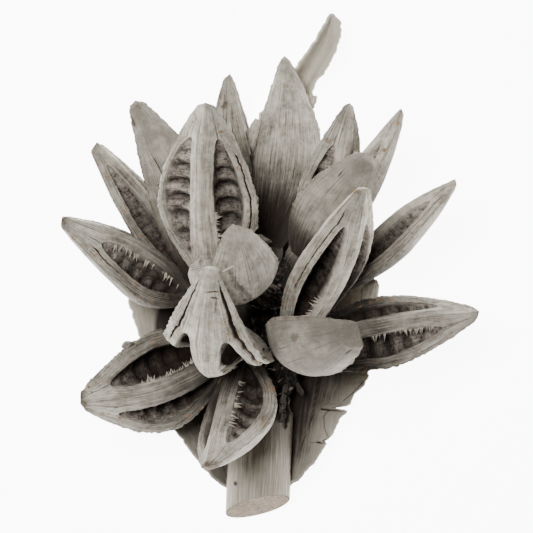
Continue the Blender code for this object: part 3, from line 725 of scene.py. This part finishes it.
# One dark knot hole in its side, near the cut
knot = add(tree, "ShaderNodeVectorMath", {0: place, 1: (-0.0175, -0.1205, 0.0255)},
           operation="DISTANCE").outputs[1]
knot = add(tree, "ShaderNodeMapRange", {0: knot, 1: 0.0017, 2: 0.0009, 4: 0.9}).outputs[0]
colour = tint("#7B7468")
for covered, over in ((wash, tint("#A8A194")), (grime_and_shade, tint("#2E2620")), (cut_end, pith),
                      (bruise, tint("#4B3C2D")), (knot, tint("#1C1612"))):
    colour = add(tree, "ShaderNodeMix", {0: covered, 6: colour, 7: over},
                 data_type="RGBA").outputs[2]
relief = add(tree, "ShaderNodeMath", {0: vessel, 1: cut_end}, operation="MULTIPLY").outputs[0]
relief = add(tree, "ShaderNodeMath", {0: relief, 1: -1.0, 2: streak},
             operation="MULTIPLY_ADD").outputs[0]
bump = add(tree, "ShaderNodeBump", {"Height": relief, "Strength": 0.7, "Distance": 0.0005})
surface = add(tree, "ShaderNodeBsdfPrincipled", {
    "Base Color": colour, "Roughness": 0.82, "Normal": bump.outputs[0],
    "Specular IOR Level": 0.12})
add(tree, "ShaderNodeOutputMaterial", {"Surface": surface.outputs[0]})

stem = joined("cut_stem", [(points, marks, across, long)], stalk_wood, marks)
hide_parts("stem")
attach(stem, "root")


# The bract: the husk that the flower head grew out of, a long boat of flat fibres. It dried
# hard, its margins tore and split, and its narrow tip curled up and to the right.
Station = namedtuple("Station", "y keel rise curve")
BRACT = [
    Station(-124, 0, 16, 3.0), Station(-116, 0, 17, 2.8), Station(-108, 0, 18, 2.4),
    Station(-93, 0, 20, 2.0), Station(-75, 0, 21, 1.8), Station(-63, 0, 22, 1.7),
    Station(-36, 0, 20, 1.7), Station(-19, 0, 17, 1.7), Station(4, 0, 13, 1.7),
    Station(30, 0, 12, 1.7), Station(60, 0, 8, 1.7), Station(82, 4, 9, 1.8),
    Station(97, 10, 7, 1.8), Station(112, 17, 5, 1.8), Station(126, 22, 3.4, 1.8),
    Station(136, 26, 2, 1.8), Station(140, 28, 1, 1.8),
]
LEFT_MARGIN = [(-124, -24), (-121.4, -27.6), (-115.2, -34.3), (-110.2, -38.2), (-92.3, -51.6),
               (-80, -59.4), (-63.3, -65), (-37.7, -72.3), (-19.3, -78.5), (4, -68), (30, -54),
               (55, -19), (65, -12.5), (76, -9), (85, -5), (97, 3.5), (113.4, 17), (126, 26),
               (138.4, 33), (140.5, 35)]
RIGHT_MARGIN = [(-124, 12.5), (-121.9, 15), (-119.7, 19.2), (-115.2, 22.5), (-110.8, 27),
                (-104.6, 31), (-97.4, 35.5), (-94.6, 37.2), (-87.9, 40.6), (-82.9, 43.6),
                (-82.3, 45.2), (-75.1, 48.5), (-71.1, 50), (-67.8, 54), (-63, 57.5), (-36, 60),
                (-19, 62), (-8, 61.5), (4, 60), (30, 50), (60, 34), (82, 27), (94.9, 26),
                (103.9, 29), (107.8, 33.4), (117.4, 38.6), (126.5, 41.8), (134.4, 42.6),
                (139.3, 39), (140.5, 37)]
# Slits in the right margin: where along it, how deep, and half their width
SLITS = [(-79, 7.5, 0.7), (-97.5, 2, 0.7)]
# Cracks in its face, as lines in plan
CRACKS = [[(37.6, -79), (33, -84.5), (33.5, -91), (35.6, -96.5)],
          [(35.6, -97), (25.5, -99.5)], [(55, -64), (50, -70), (44, -75)],
          [(-66, -60), (-58, -70)], [(30, -60), (27, -84), (20, -104)]]


def from_line(points, line):
    """The distance, in plan and in mm, from each point to a line of straight pieces."""
    nearest = np.full(points.shape[:-1], 1e9)
    for a, b in zip(line, line[1:]):
        a, b = np.array(a, float), np.array(b, float)
        share = np.clip(((points - a) @ (b - a)) / ((b - a) @ (b - a)), 0, 1)
        nearest = np.minimum(nearest, np.linalg.norm(points - (a + share[..., None] * (b - a)),
                                                     axis=-1))
    return nearest


def evened(values, rounds):
    """A line of values, each averaged again and again with its two neighbours."""
    values = values.copy()
    for _ in range(rounds):
        values[1:-1] = (values[:-2] + values[1:-1] + values[2:]) / 3
    return values


ROWS, COLUMNS = 330, 110
BRACT_FOOT_Y, BRACT_TIP_Y = -124, 140.3
FLOOR_THICKNESS, CRACK_DEPTH, RIB_HEIGHT = 2, 0.25, 0.28
y = np.linspace(BRACT_FOOT_Y, BRACT_TIP_Y, ROWS)
stations = np.array(BRACT, float)
keel, rise, curve = (np.interp(y, stations[:, 0], stations[:, k]) for k in (1, 2, 3))
keel, rise = evened(keel, 8), evened(rise, 8)
# The two margins, frayed by 1 to 2 mm. Columns crowd towards them.
edge_line = np.stack([y * 0, y, y * 0], -1)
left, right = (np.interp(y, *zip(*margin)) + inset + 1.1 * rough(edge_line, wave, seed)
               + 0.5 * rough(edge_line, 1.1, seed + 1)
               for margin, inset, wave, seed in ((LEFT_MARGIN, 0.7, 3.1, 31),
                                                 (RIGHT_MARGIN, -0.7, 2.7, 33)))
even_left, even_right = evened(left, 150), evened(right, 150)
for at, deep, wide in SLITS:
    right = right - deep * np.exp(-((y - at) / wide) ** 2)
middle, half = (even_left + even_right) / 2, (even_right - even_left) / 2
share = np.sin(np.linspace(-1, 1, COLUMNS + 1) * np.pi / 2 * 0.8) / math.sin(np.pi / 2 * 0.8)
off = np.where(share < 0, (left - even_left)[:, None], (right - even_right)[:, None])
x = middle[:, None] + half[:, None] * share[None, :] + off * smooth(np.abs(share), 0.6, 1)
height = ((rise + FLOOR_THICKNESS)[:, None] * np.abs(share)[None, :] ** curve[:, None]
          - FLOOR_THICKNESS)
z = np.maximum(0, keel[:, None] + height)
flat = np.stack([x, np.broadcast_to(y[:, None], x.shape), 0 * x], -1)
# Fine ribs along it and broad waves, which fade out towards the keel and the foot
rib = rough(flat * np.array([1, 0.04, 0]), 1.9, 41)
wave = rough(flat, 26, 42) * 1.6 + rough(flat, 9, 43) * 0.5
raised = smooth(np.abs(share), 0.35, 0.8)[None, :] * smooth(y, -122, -112)[:, None]
z = z + raised * (wave + RIB_HEIGHT * rib) * np.minimum(1, half / 30)[:, None]
z = np.clip(z, 0, None)
cracked = np.zeros(x.shape)
for line in CRACKS:
    cracked = np.maximum(cracked, 1 - smooth(from_line(flat[..., :2], line), 0.1, 0.5))
points = np.stack([x, flat[..., 1], np.clip(z - CRACK_DEPTH * cracked, 0, None)], -1) * MM
faces, spots = [], []
# Half the width of its grain map: the fibres crowd together where the husk is narrow
half_grain = 18 + 0.7 * half
for row in range(ROWS - 1):
    here, above = half_grain[row:row + 2]
    for k in range(COLUMNS):
        a, b = row * (COLUMNS + 1) + k, (row + 1) * (COLUMNS + 1) + k
        faces.append((a, b, b + 1, a + 1))
        spots += [(share[k] * here, y[row]), (share[k] * above, y[row + 1]),
                  (share[k + 1] * above, y[row + 1]), (share[k + 1] * here, y[row])]
marks = {"crack": cracked, "margin": np.broadcast_to(np.abs(share)[None, :], x.shape)}

# Dried husk: long flat fibres under a worn lime wash, grey at the margins and brown inside, where dirt
# settled, with painted shade round the core under the capsules. Fine lengthwise lines and dark splits
# show its fibres.
husk, tree = finish_called("dried_husk")
grain = add(tree, "ShaderNodeUVMap", uv_map="grain").outputs[0]
place = add(tree, "ShaderNodeTexCoord").outputs["Object"]
# Fibre lines 1.4 mm apart and 40 mm long
stretched = add(tree, "ShaderNodeMapping", {0: grain, "Scale": (700, 25, 1)}).outputs[0]
streak = add(tree, "ShaderNodeTexNoise", {0: stretched, "Scale": 1.0, "Detail": 6.0,
                                          "Roughness": 0.7}).outputs[0]
patch = add(tree, "ShaderNodeTexNoise", {0: place, "Scale": 60.0, "Detail": 5.0,
                                         "Roughness": 0.65}).outputs[0]
thin = 0.0
for pattern, weight in ((streak, 0.7), (patch, 0.4)):
    thin = add(tree, "ShaderNodeMath", {0: pattern, 1: weight, 2: thin},
               operation="MULTIPLY_ADD").outputs[0]
margin = add(tree, "ShaderNodeAttribute", attribute_name="margin").outputs["Fac"]
margin = add(tree, "ShaderNodeMapRange", {0: margin, 1: 0.7, 2: 1.0, 4: 0.16}).outputs[0]
thin = add(tree, "ShaderNodeMath", {0: thin, 1: margin}, operation="ADD").outputs[0]
wash = add(tree, "ShaderNodeMapRange", {0: thin, 1: 0.38, 2: 0.62}).outputs[0]
# Grime and painted shade round the core, under the capsules, which fade out along the fibres
from_core = add(tree, "ShaderNodeMapping", {0: place, "Location": (0.011, 0.032, -0.02),
                                            "Scale": (1.1, 0.72, 0.6)})
far = add(tree, "ShaderNodeVectorMath", {0: from_core.outputs[0]}, operation="LENGTH").outputs[1]
far = add(tree, "ShaderNodeMath", {0: thin, 1: 0.04, 2: far},
          operation="MULTIPLY_ADD").outputs[0]
grime_and_shade = add(tree, "ShaderNodeMapRange", {0: far, 1: 0.106, 2: 0.068, 4: 0.95}).outputs[0]
# Painted shadow: a dark patch on the bract where the gap between it and the two capsules on the left
# lies in shade
painted_gap_shadow = add(tree, "ShaderNodeMapping", {0: place, "Location": (-0.048, -0.034, 0),
                                         "Scale": (0.0145, 0.02, EVERY_HEIGHT)},
             vector_type="TEXTURE").outputs[0]
painted_gap_shadow = add(tree, "ShaderNodeVectorMath", {0: painted_gap_shadow}, operation="LENGTH").outputs[1]
painted_gap_shadow = add(tree, "ShaderNodeMapRange", {0: painted_gap_shadow, 1: 1.08, 2: 0.92, 4: 0.93}).outputs[0]
crack = add(tree, "ShaderNodeAttribute", attribute_name="crack").outputs["Fac"]
colour = tint("#736D61")
for covered, over in ((wash, "#AEA799"), (grime_and_shade, "#2A221D"), (painted_gap_shadow, "#1F1915"),
                      (crack, "#1E1814")):
    colour = add(tree, "ShaderNodeMix", {0: covered, 6: colour, 7: tint(over)},
                 data_type="RGBA").outputs[2]
bump = add(tree, "ShaderNodeBump", {"Height": streak, "Strength": 0.5, "Distance": 0.0004})
surface = add(tree, "ShaderNodeBsdfPrincipled", {
    "Base Color": colour, "Roughness": 0.85, "Normal": bump.outputs[0],
    "Specular IOR Level": 0.2})
add(tree, "ShaderNodeOutputMaterial", {"Surface": surface.outputs[0]})
bract = piece_of("bract_husk", points, faces, spots, husk, marks)
thickness = bract.modifiers.new("husk_thickness", "SOLIDIFY")
thickness.thickness = 1.6 * MM
thickness.offset = -1
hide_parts("bract")
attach(bract, "root")

# Torn husk flakes: crumpled bits of the bract that stayed caught between the capsules and
# round the stem. Each is a thin patch, bent by uneven noise.
Flake = namedtuple("Flake", "place long wide yaw lean roll")
FLAKES = [
    Flake((-8, 72, 22), 21, 7, 72, 8, 20), Flake((24, 91, 28), 9, 6, 60, 0, -30),
    Flake((56, -13.5, 38.5), 15, 10, 75, 10, -25), Flake((44, -3, 44), 17, 6, 60, 10, 30),
    Flake((-74, -42, 66.8), 7, 5, 30, 20, 60), Flake((1, -81, 29.6), 9, 5, 10, 5, 15),
    Flake((9.5, -76, 30.5), 22, 5, 82, 14, 50), Flake((11, -82, 25.5), 18, 4, 80, 14, -60),
    Flake((18.5, -68, 24.5), 8, 4, 120, 10, 40), Flake((-2, 13.6, 79.5), 10.5, 5, -19, -27, 40),
]
FLAKE_ROWS, FLAKE_COLUMNS = 12, 24
places, faces, spots = [], [], []
for number, flake in enumerate(FLAKES):
    u, v = np.meshgrid(np.linspace(-0.5, 0.5, FLAKE_COLUMNS + 1),
                       np.linspace(-0.5, 0.5, FLAKE_ROWS + 1))
    narrow = 1 - 0.5 * np.abs(2 * u) ** 3
    patch = np.stack([u * flake.long, v * flake.wide * narrow, 0 * u], -1)
    patch[..., 2] = 1.6 * rough(patch, 3.4, number + 60) - 0.09 * patch[..., 1] ** 2
    patch[..., :2] += 0.5 * np.stack([rough(patch, 1.7, number), rough(patch, 1.9, -number)], -1)
    turned = Euler([math.radians(a) for a in (flake.roll, -flake.lean, flake.yaw)]).to_matrix()
    patch = patch @ np.array(turned).T + np.array(flake.place)
    first = sum(len(rows) for rows in places)
    places.append(patch.reshape(-1, 3) * MM)
    for row in range(FLAKE_ROWS):
        for k in range(FLAKE_COLUMNS):
            a, b = (first + (FLAKE_COLUMNS + 1) * at + k for at in (row, row + 1))
            faces.append((a, a + 1, b + 1, b))
            spots += [(flake.wide * (row + j) / FLAKE_ROWS, flake.long * (k + i) / FLAKE_COLUMNS)
                      for i, j in ((0, 0), (1, 0), (1, 1), (0, 1))]
flakes = piece_of("husk_flakes", np.concatenate(places), faces, spots, husk)
thickness = flakes.modifiers.new("flake_thickness", "SOLIDIFY")
thickness.thickness = 0.8 * MM
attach(flakes, "root")


# The core: the woody axis of the flower head. Dried scraps of flowers and fibres cling to it,
# crumpled, curled and nearly black between the capsules.
CORE_CENTRE, CORE_HALF = (-2, -38, 19), (25, 46, 17)
# It is flattened where it meets the bract, and cut off where it meets the stem
CORE_LOWEST, CORE_FRONT = 2.9, -79.9
CORE_GIRTH, CORE_LENGTH = 100, 90
along = np.linspace(0, np.pi, 60)[1:-1, None]
turn = np.linspace(0, 2 * np.pi, 97)[:-1]
ball = np.stack([np.sin(along) * np.cos(turn), -np.cos(along) * np.ones(len(turn)),
                 np.sin(along) * np.sin(turn)], -1)
lump = (1 + 0.09 * rough(ball, 0.45, 51) + 0.05 * rough(ball, 0.14, 52)
        + 0.03 * rough(ball, 0.05, 53))
points = np.array(CORE_CENTRE) + ball * np.array(CORE_HALF) * lump[..., None]
points[..., 2] = np.clip(points[..., 2], CORE_LOWEST, None)
points[..., 1] = np.clip(points[..., 1], CORE_FRONT, None)

# Dark core fibre: the unwashed axis, dull black-brown. Dried flower scraps: the same dead
# fibre, greyed with dust where it sticks up into the light.
core_finishes = []
for name, dark, grey in (("dark_core_fibre", "#0A0807", "#4C443C"),
                         ("dried_flower_scraps", "#0F0D0B", "#938A7E")):
    finish, tree = finish_called(name)
    core_finishes.append(finish)
    place = add(tree, "ShaderNodeTexCoord").outputs["Object"]
    mottle = add(tree, "ShaderNodeTexNoise", {0: place, "Scale": 240.0, "Detail": 5.0,
                                              "Roughness": 0.7}).outputs[0]
    dust = add(tree, "ShaderNodeMapRange", {0: mottle, 1: 0.46, 2: 0.72}).outputs[0]
    colour = add(tree, "ShaderNodeMix", {0: dust, 6: tint(dark), 7: tint(grey)},
                 data_type="RGBA").outputs[2]
    bump = add(tree, "ShaderNodeBump", {"Height": mottle, "Strength": 0.9, "Distance": 0.0012})
    surface = add(tree, "ShaderNodeBsdfPrincipled", {
        "Base Color": colour, "Roughness": 0.92, "Normal": bump.outputs[0],
        "Specular IOR Level": 0.1})
    add(tree, "ShaderNodeOutputMaterial", {"Surface": surface.outputs[0]})
core_fibre, flower_scrap = core_finishes
across = np.linspace(0, CORE_GIRTH, len(turn) + 1)
long = np.linspace(0, CORE_LENGTH, len(along))
core = joined("core_axis", [(points * MM, {}, across, long)], core_fibre)
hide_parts("core")
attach(core, "root")

# The scraps: flat strips and round curls, sown over the core's upper side
SCRAPS_ABOVE_Z, SCRAPS_BELOW_Y = 0.024, 0.0
scraps, given = growth_called("flower_scraps", ("Scrap length", "Scrap width", "Curl size",
                                                "Scraps per area"))
length = given["Scrap length"]
bent = add(scraps, "ShaderNodeMath", {0: length, 1: 0.35}, operation="MULTIPLY")
above = add(scraps, "ShaderNodeCombineXYZ", {2: length})
aside = add(scraps, "ShaderNodeCombineXYZ", {0: bent.outputs[0], 2: bent.outputs[0]})
strip = add(scraps, "GeometryNodeCurveQuadraticBezier", {
    "Resolution": 8, "Start": (0, 0, -0.002), "Middle": aside.outputs[0],
    "End": above.outputs[0]})
flat_section = add(scraps, "GeometryNodeCurvePrimitiveQuadrilateral", {
    0: given["Scrap width"], 1: 0.00035})
strip = add(scraps, "GeometryNodeCurveToMesh", {
    0: strip.outputs[0], 1: flat_section.outputs[0], "Fill Caps": True})
half_curl = add(scraps, "ShaderNodeMath", {0: given["Curl size"], 1: 0.3},
                operation="MULTIPLY")
curl = add(scraps, "GeometryNodeCurveSpiral", {
    "Resolution": 14, "Rotations": 1.3, "Start Radius": given["Curl size"],
    "End Radius": half_curl.outputs[0], "Height": given["Curl size"]})
round_section = add(scraps, "GeometryNodeCurvePrimitiveCircle", {
    "Resolution": 5, "Radius": 0.0004})
curl = add(scraps, "GeometryNodeCurveToMesh", {
    0: curl.outputs[0], 1: round_section.outputs[0], "Fill Caps": True})
sown = add(scraps, "GeometryNodeDistributePointsOnFaces", {
    "Mesh": given["Geometry"], "Density": given["Scraps per area"],
    "Seed": 4}, distribute_method="RANDOM")
tumbled = add(scraps, "FunctionNodeRandomValue", {0: (-1.5, -1.5, -3.1), 1: (1.5, 1.5, 3.1),
                                                  "Seed": 6}, data_type="FLOAT_VECTOR")
aimed = add(scraps, "FunctionNodeRotateRotation", {
    0: sown.outputs["Rotation"], 1: tumbled.outputs[0]}, rotation_space="LOCAL")
sized = add(scraps, "FunctionNodeRandomValue", {2: 0.35, 3: 1.3, "Seed": 7}, data_type="FLOAT")
strips = add(scraps, "GeometryNodeInstanceOnPoints", {
    "Points": sown.outputs["Points"], "Instance": strip.outputs[0],
    "Rotation": aimed.outputs[0], "Scale": sized.outputs[1]})
resown = add(scraps, "GeometryNodeDistributePointsOnFaces", {
    "Mesh": given["Geometry"], "Density": given["Scraps per area"],
    "Seed": 9}, distribute_method="RANDOM")
curls = add(scraps, "GeometryNodeInstanceOnPoints", {
    "Points": resown.outputs["Points"], "Instance": curl.outputs[0],
    "Rotation": aimed.outputs[0], "Scale": sized.outputs[1]})
both = add(scraps, "GeometryNodeJoinGeometry", {0: strips.outputs[0]})
scraps.links.new(curls.outputs[0], both.inputs[0])
real = add(scraps, "GeometryNodeRealizeInstances", {0: both.outputs[0]})
darkened = add(scraps, "GeometryNodeSetMaterial", {"Geometry": real.outputs[0]})
add(scraps, "NodeGroupOutput", {0: darkened.outputs[0]})
bed = bpy.data.meshes.new("scrap_bed")
kept_faces = [tuple(face.vertices) for face in core.data.polygons
              if face.center.z > SCRAPS_ABOVE_Z and face.center.y < SCRAPS_BELOW_Y]
bed.from_pydata([tuple(v.co) for v in core.data.vertices], [], kept_faces)
remains = grown_by("flower_scraps", bed, scraps,
                   {"Scrap length": 0.024, "Scrap width": 0.0045, "Curl size": 0.0072,
                    "Scraps per area": 10000.0}, flower_scrap)
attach(remains, "root")
